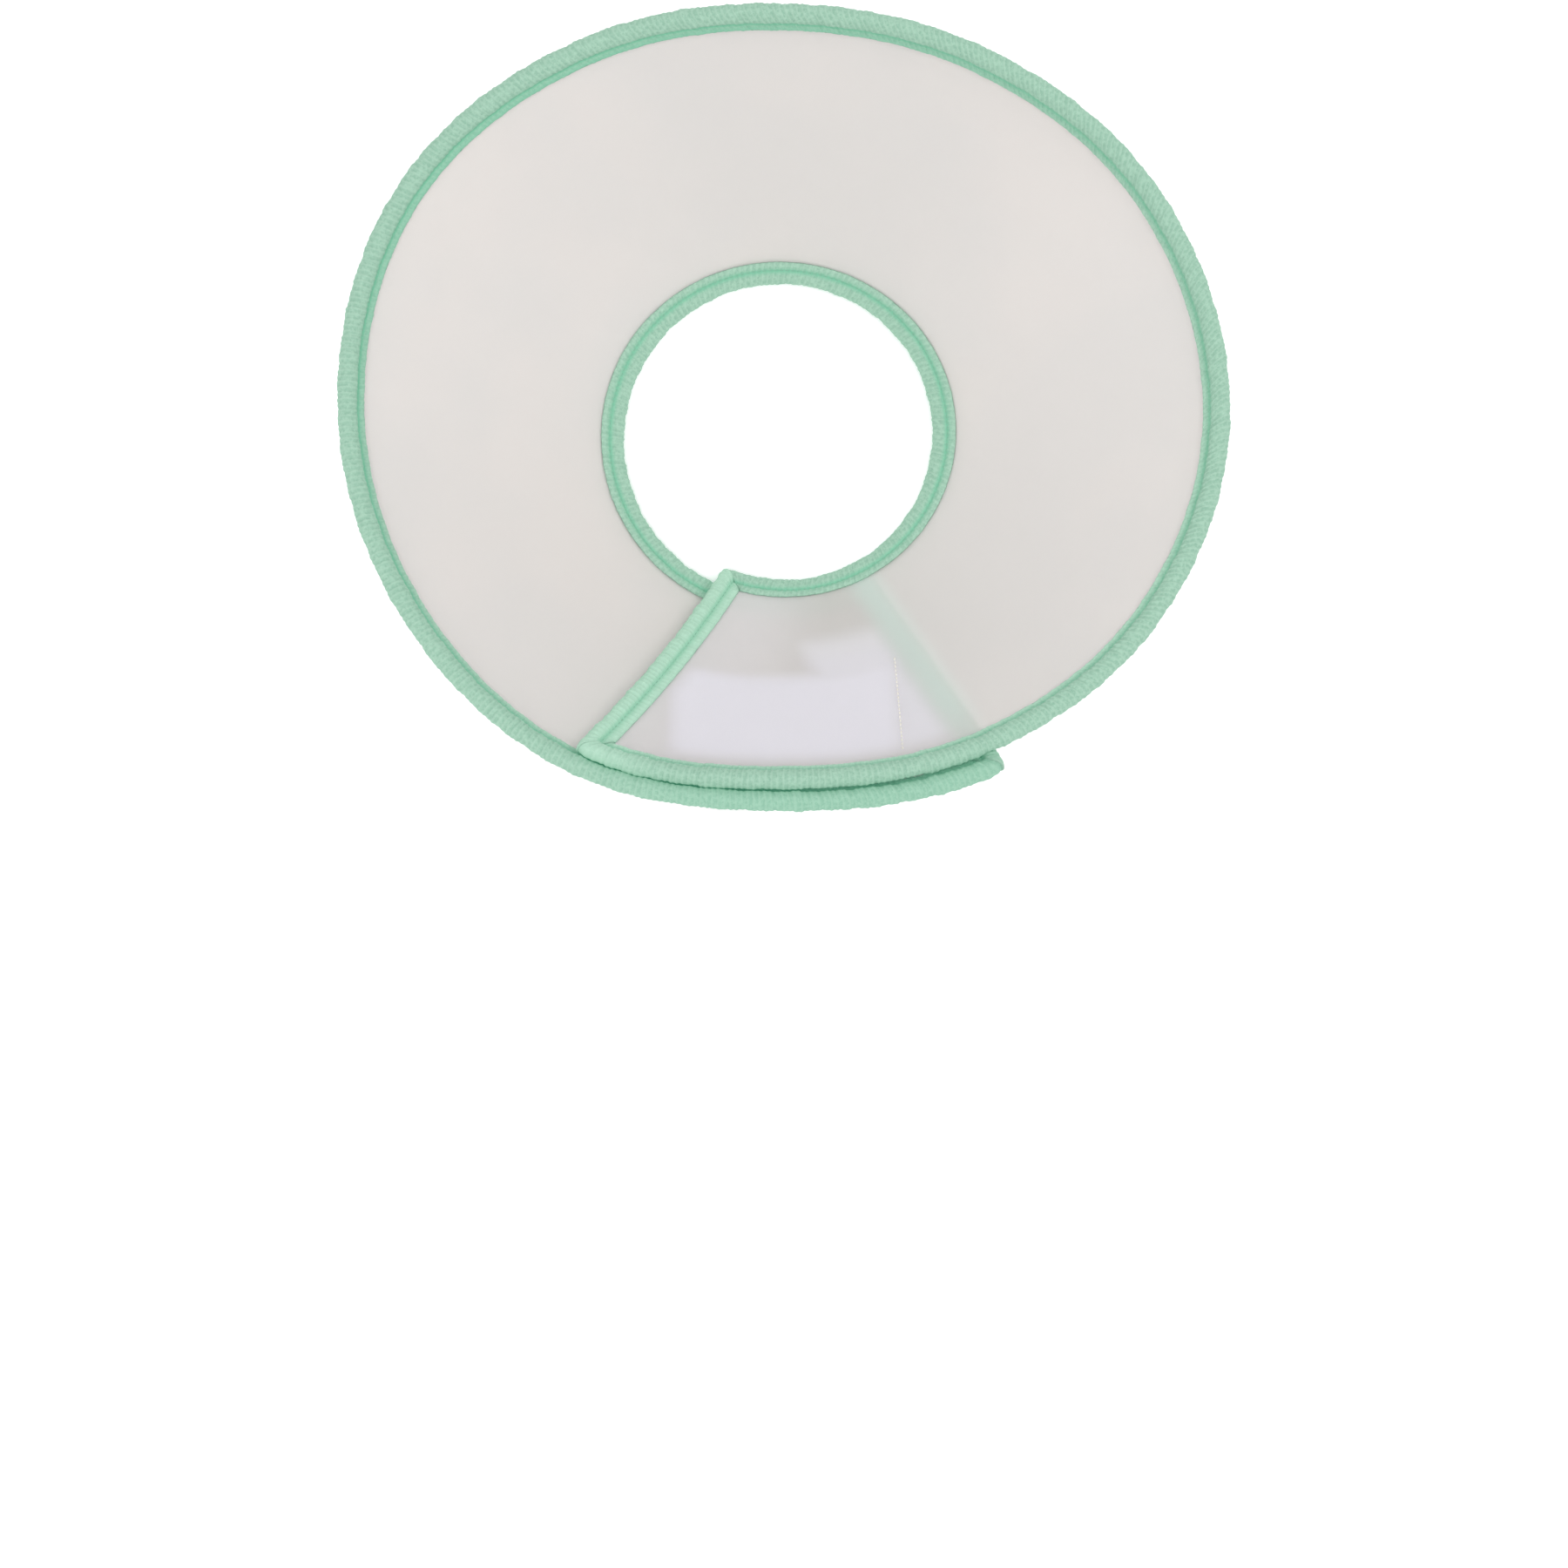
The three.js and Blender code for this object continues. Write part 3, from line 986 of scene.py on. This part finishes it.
class COLLAR_OT_bindings(bpy.types.Operator):
    """Make the knitted binding on the rim, the neck and the two ends of the sheet"""

    bl_idname = "collar.bindings"
    bl_label = "Knitted bindings"

    def execute(self, context):
        sizes = context.scene.collar_sizes
        wall = Wall(sizes)
        knit = knit_material(sizes, context.scene.collar_colours)
        for seed, edge in enumerate(("rim", "neck", "inner_end", "outer_end")):
            piece = knit_piece(wall, sizes, edge, 10 * seed)
            settle(piece, knit, "mint_knit", edge + "_binding")
        return {"FINISHED"}


class COLLAR_OT_seams(bpy.types.Operator):
    """Sew the bindings on with a row of stitches in each groove, in front and behind"""

    bl_idname = "collar.seams"
    bl_label = "Binding seams"

    def execute(self, context):
        sizes = context.scene.collar_sizes
        wall = Wall(sizes)
        colours = context.scene.collar_colours
        mint = tuple((first + second) / 2 for first, second in zip(colours.groove, colours.knit))
        thread = thread_material("Mint thread", mint)
        for edge in ("rim", "neck", "inner_end", "outer_end"):
            binding = Binding(wall, sizes, edge)
            out, top = binding.groove_line()
            shape = bmesh.new()
            for side in (1, -1):
                lift = side * top
                paths, _ = binding.even_paths(out, lift, sizes.stitch_step)
                middles = (paths[1:] + paths[:-1]) / 2
                spots = binding.place(middles, np.full_like(middles, out), np.full_like(middles, lift))
                ends = binding.place(paths, np.full_like(paths, out), np.full_like(paths, lift))
                length = THREAD_SHARE * sizes.stitch_step
                stitch_row(shape, spots, np.diff(ends, axis=0), length, MINT_THREAD)
            settle(stitch_piece(edge + "_binding_stitches", shape), thread, "mint_knit")
        return {"FINISHED"}


class COLLAR_OT_patches(bpy.types.Operator):
    """Make the hook-and-loop patches between the layers, with the sewn row that shows"""

    bl_idname = "collar.patches"
    bl_label = "Hook-and-loop patches"

    def execute(self, context):
        sizes = context.scene.collar_sizes
        colours = context.scene.collar_colours
        wall = Wall(sizes)
        pile = pile_material(colours)
        thread = thread_material("Pale thread", tuple(colours.pale_thread))
        facts = (
            ("loop_patch", LOOP_PATCH, (0.096, 0.057), 0.00545),
            ("hook_patch", HOOK_PATCH, (0.05, 0.079), 0.0031),
        )
        for node, patch, flat, area in facts:
            piece = self.pad(wall, sizes, node + "_pile", patch)
            settle(piece, pile, "white_loop", node)
        settle(self.sewing(wall, sizes, "loop_patch_stitches", LOOP_PATCH), thread, "white_loop")
        return {"FINISHED"}

    def pad(self, wall, sizes, name, patch):
        columns, rows = 90, 60
        low, high = patch_rises(wall, sizes, patch)
        middle = wall.slot_half + sizes.patch_thickness / 2

        def place(column, row):
            rise = low + (high - low) * row / rows
            start, stop = patch_edges(wall, sizes, patch, rise)
            turn = start + (stop - start) * column / columns
            spots = wall.place(turn, rise, np.full_like(rise, middle * patch["side"]))
            uv = np.stack([column / columns, row / rows], axis=1)
            return spots, uv, {}

        piece = warped_grid(name, columns, rows, place)
        thicken(piece, sizes.patch_thickness)
        soft = piece.modifiers.new("Soft edge", "BEVEL")
        soft.width = 0.4 * MM
        soft.segments = 2
        soft.limit_method = "ANGLE"
        return piece

    def sewing(self, wall, sizes, name, patch):
        """One upright row of stitches near the patch's last edge, on the sheet's open face."""
        hem = 1.2 * MM
        slope = 1.5 * MM
        low, high = patch_rises(wall, sizes, patch)
        count = round((high - low) / sizes.stitch_step)
        share = np.linspace(0, 1, count + 1)
        rises = low + (high - low) * share
        inset = hem + slope * (1 - share)
        turns = patch_edges(wall, sizes, patch, rises)[1]
        turns = turns - np.degrees(inset / wall.reach(patch["line"], rises))
        lift = -patch["side"] * (sizes.sheet_thickness / 2 + 0.1 * MM)
        spots = wall.place(turns, rises, lift)
        middles = (spots[1:] + spots[:-1]) / 2
        shape = bmesh.new()
        length = THREAD_SHARE * sizes.stitch_step
        stitch_row(shape, middles, np.diff(spots, axis=0), length, PALE_THREAD)
        return stitch_piece(name, shape)


class COLLAR_OT_stage(bpy.types.Operator):
    """Make the pale floor, the soft lights and the camera"""

    bl_idname = "collar.stage"
    bl_label = "Stage"

    def execute(self, context):
        self.floor(context)
        self.lights(context)
        self.camera(context)
        context.scene.view_settings.view_transform = "Standard"
        return {"FINISHED"}

    def floor(self, context):
        shape = bmesh.new()
        bmesh.ops.create_grid(shape, x_segments=2, y_segments=2, size=6.0)
        mesh = bpy.data.meshes.new("floor")
        shape.to_mesh(mesh)
        shape.free()
        floor = new_piece("floor", mesh)
        shader = Shader("Pale floor")
        colour = tuple(context.scene.collar_colours.floor)
        sockets = {"Base Color": colour, "Roughness": 0.9, **FLOOR_GLOW}
        mesh.materials.append(shader.finish(sockets))

    def lights(self, context):
        world = bpy.data.worlds.new("Studio")
        world.use_nodes = True
        background = world.node_tree.nodes["Background"]
        background.inputs["Color"].default_value = (1.0, 1.0, 1.0, 1.0)
        background.inputs["Strength"].default_value = 0.7
        context.scene.world = world
        facts = (
            ("key", (-1.0, -1.1, 1.9), 1.8, 18.0),
            ("fill", (1.4, 0.7, 1.8), 1.8, 15.0),
        )
        for name, spot, size, power in facts:
            light = bpy.data.lights.new(name, "AREA")
            light.shape = "DISK"
            light.size = size
            light.energy = power
            lamp = new_piece(name, light)
            lamp.location = spot
            lamp.rotation_euler = (-Vector(spot)).to_track_quat("-Z", "Y").to_euler()

    def camera(self, context):
        camera = bpy.data.cameras.new("camera")
        camera.lens = CAMERA_LENS
        camera.sensor_width = 36.0
        camera.dof.use_dof = False
        camera.clip_start = 0.05
        camera.clip_end = 50.0
        view = new_piece("camera", camera)
        view.location = CAMERA_PLACE
        view.rotation_euler = (math.radians(CAMERA_TILT), 0.0, 0.0)
        context.scene.camera = view


OPERATORS = (
    COLLAR_OT_sheet,
    COLLAR_OT_bindings,
    COLLAR_OT_seams,
    COLLAR_OT_patches,
    COLLAR_OT_stage,
)


class COLLAR_PT_panel(bpy.types.Panel):
    """Lists the collar's sizes, colours and pieces"""

    bl_idname = "COLLAR_PT_panel"
    bl_label = "Recovery collar"
    bl_space_type = "VIEW_3D"
    bl_region_type = "UI"
    bl_category = "Collar"

    def draw(self, context):
        for group in (context.scene.collar_sizes, context.scene.collar_colours):
            column = self.layout.column(align=True)
            for name in type(group).__annotations__:
                column.prop(group, name)
        for operator in OPERATORS:
            self.layout.operator(operator.bl_idname)


CLASSES = (CollarSizes, CollarColours, *OPERATORS, COLLAR_PT_panel)


def register():
    for entry in CLASSES:
        bpy.utils.register_class(entry)
    bpy.types.Scene.collar_sizes = PointerProperty(type=CollarSizes)
    bpy.types.Scene.collar_colours = PointerProperty(type=CollarColours)


def unregister():
    del bpy.types.Scene.collar_colours
    del bpy.types.Scene.collar_sizes
    for entry in reversed(CLASSES):
        bpy.utils.unregister_class(entry)


def main():
    register()
    bpy.ops.collar.sheet()
    bpy.ops.collar.bindings()
    bpy.ops.collar.seams()
    bpy.ops.collar.patches()
    bpy.ops.collar.stage()


if __name__ == "__main__":
    main()
